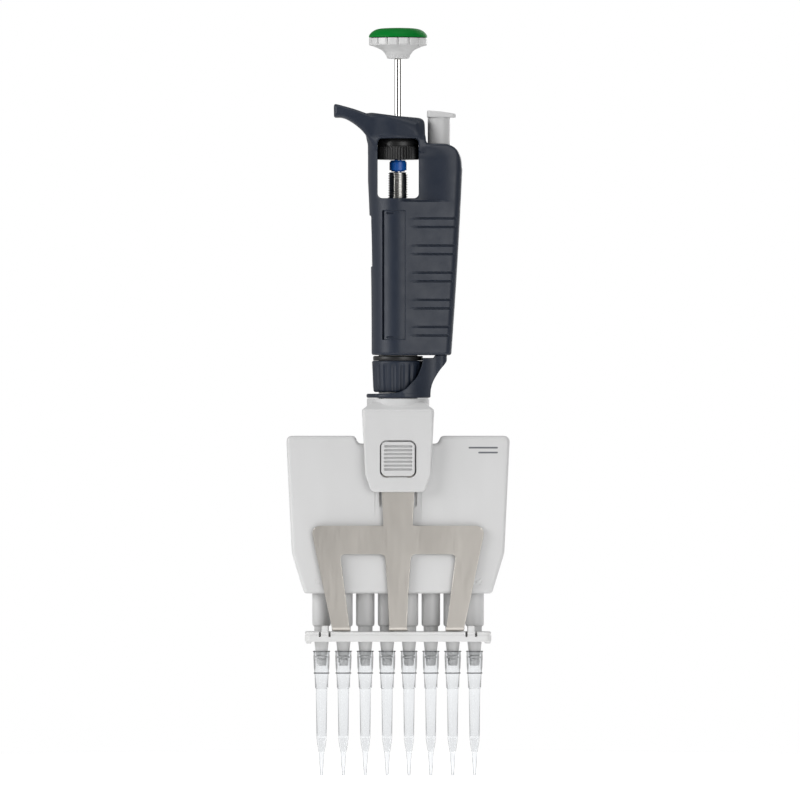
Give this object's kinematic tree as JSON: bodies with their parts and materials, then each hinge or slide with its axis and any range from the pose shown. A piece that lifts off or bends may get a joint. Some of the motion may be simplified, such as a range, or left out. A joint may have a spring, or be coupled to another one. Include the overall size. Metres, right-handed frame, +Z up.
{
  "type": "multichannel pipette",
  "caption": "Manual multichannel air-displacement pipette with a swivelling head, a steel tip ejector and its clear disposable tips fitted.",
  "frame": {"origin": "centre of the flat underside of the finger hook, where the pipette hangs on a stand", "axes": "+Z up along the plunger axis towards the button, +X from the hook's tip towards the plunger axis, -Y the front of the head with the ejector plate"},
  "size_m": [0.0918, 0.028, 0.3077],
  "materials": {
    "slate_plastic": "fine moulded satin",
    "black_plastic": "satin",
    "white_plastic": "smooth semi-gloss",
    "light_plastic": "fine satin",
    "grey_plastic": "smooth satin",
    "green_plastic": "semi-gloss",
    "blue_plastic": "semi-gloss",
    "bright_steel": "ground and polished",
    "spring_steel": "drawn wire",
    "plate_steel": "matt bead-blasted sheet",
    "brass": "machined",
    "clear_plastic": "clear polypropylene"
  },
  "bodies": {
    "handle": {"handle_shell": "slate_plastic", "volumeter_frame": "black_plastic", "volumeter_lens": "clear_plastic", "micrometer_nut": "brass", "stop_washer": "bright_steel", "blowout_spring": "spring_steel", "spring_seat": "bright_steel", "handle_ring": "black_plastic", "connecting_nut": "slate_plastic", "ejector_bush": "black_plastic", "ejector_spring": "spring_steel"},
    "volume_drive": {"drive_sleeve": "brass", "units_drum": "white_plastic"},
    "tens": {"tens_drum": "white_plastic"},
    "hundreds": {"hundreds_drum": "white_plastic"},
    "carry_low": {"carry_pinion_low": "brass"},
    "carry_high": {"carry_pinion_high": "brass"},
    "micrometer": {"thumbwheel": "black_plastic", "volume_collar": "blue_plastic", "micrometer_screw": "bright_steel"},
    "plunger": {"push_button": "white_plastic", "button_cap": "green_plastic", "operating_rod": "bright_steel", "rod_collar": "brass"},
    "cup": {"thrust_cup": "brass"},
    "pistons": {"control_rod": "bright_steel", "piston_rack": "bright_steel"},
    "ejector": {"ejector_button": "light_plastic", "ejector_rod": "bright_steel", "ejector_arm": "slate_plastic"},
    "head": {"neck": "light_plastic", "main_spring": "spring_steel", "housing_front": "light_plastic", "housing_back": "light_plastic", "seal_plate": "black_plastic", "tip_holder_1": "grey_plastic", "tip_holder_2": "grey_plastic", "tip_holder_3": "grey_plastic", "tip_holder_4": "grey_plastic", "tip_holder_5": "grey_plastic", "tip_holder_6": "grey_plastic", "tip_holder_7": "grey_plastic", "tip_holder_8": "grey_plastic"},
    "ejector_head": {"yoke": "light_plastic", "ejector_plate": "plate_steel", "comb": "white_plastic"},
    "latch": {"latch_button": "light_plastic"},
    "tips": {"tip_1": "clear_plastic", "tip_2": "clear_plastic", "tip_3": "clear_plastic", "tip_4": "clear_plastic", "tip_5": "clear_plastic", "tip_6": "clear_plastic", "tip_7": "clear_plastic", "tip_8": "clear_plastic"}
  },
  "joints": [
    {"name": "volume_turn", "type": "hinge", "parent": "handle", "child": "volume_drive", "pos_m": [0.025, 0, -0.05], "axis": [0, 0, 1], "range_deg": [-5045, 0]},
    {"name": "screw_travel", "type": "slide", "parent": "volume_drive", "child": "micrometer", "axis": [0, 0, 1], "range_m": [-0.014, 0]},
    {"name": "plunger_press", "type": "slide", "parent": "micrometer", "child": "plunger", "axis": [0, 0, -1], "range_m": [0, 0.0185], "stiffness_N_per_m": 600, "springref_m": -0.012, "deforming": ["main_spring"]},
    {"name": "cup_turn", "type": "hinge", "parent": "plunger", "child": "cup", "pos_m": [0.025, 0, -0.05], "axis": [0, 0, 1], "range_deg": [0, 5045]},
    {"name": "rack_turn", "type": "hinge", "parent": "cup", "child": "pistons", "pos_m": [0.025, 0, -0.05], "axis": [0, 0, 1], "continuous": true},
    {"name": "tens_turn", "type": "hinge", "parent": "handle", "child": "tens", "pos_m": [0.025, 0, -0.05], "axis": [0, 0, 1], "range_deg": [-1010, 0]},
    {"name": "hundreds_turn", "type": "hinge", "parent": "handle", "child": "hundreds", "pos_m": [0.025, 0, -0.05], "axis": [0, 0, 1], "range_deg": [-102, 0]},
    {"name": "carry_low_turn", "type": "hinge", "parent": "handle", "child": "carry_low", "pos_m": [0.0356, 0, -0.05], "axis": [0, 0, 1], "range_deg": [0, 2525]},
    {"name": "carry_high_turn", "type": "hinge", "parent": "handle", "child": "carry_high", "pos_m": [0.0356, 0, -0.05], "axis": [0, 0, 1], "range_deg": [0, 253]},
    {"name": "eject_press", "type": "slide", "parent": "handle", "child": "ejector", "axis": [0, 0, -1], "range_m": [0, 0.01], "stiffness_N_per_m": 300, "springref_m": -0.012, "deforming": ["ejector_spring"]},
    {"name": "head_swivel", "type": "hinge", "parent": "handle", "child": "head", "pos_m": [0.025, 0, -0.12], "axis": [0, 0, 1], "continuous": true},
    {"name": "eject_follow", "type": "slide", "parent": "head", "child": "ejector_head", "axis": [0, 0, -1], "range_m": [0, 0.0101]},
    {"name": "latch_press", "type": "hinge", "parent": "ejector_head", "child": "latch", "pos_m": [0.025, -0.0125, -0.1476], "axis": [-1, 0, 0], "range_deg": [0, 5], "stiffness_Nm_per_rad": 0.004, "springref_deg": -8.59},
    {"name": "tips_off", "type": "slide", "parent": "head", "child": "tips", "axis": [0, 0, -1], "range_m": [0, 0.00625]}
  ],
  "couplings": [
    {"joint": "volume_turn", "follows": "screw_travel", "rad_per_m": 6283.2},
    {"joint": "cup_turn", "follows": "screw_travel", "rad_per_m": -6283.2},
    {"joint": "tens_turn", "follows": "screw_travel", "rad_per_m": 1256.6},
    {"joint": "hundreds_turn", "follows": "screw_travel", "rad_per_m": 125.66},
    {"joint": "carry_low_turn", "follows": "screw_travel", "rad_per_m": -3141.6},
    {"joint": "carry_high_turn", "follows": "screw_travel", "rad_per_m": -314.16},
    {"joint": "rack_turn", "follows": "head_swivel", "ratio": 1},
    {"joint": "eject_follow", "follows": "eject_press", "ratio": 1},
    {"joint": "tips_off", "follows": "eject_press", "ratio": 0.62}
  ]
}
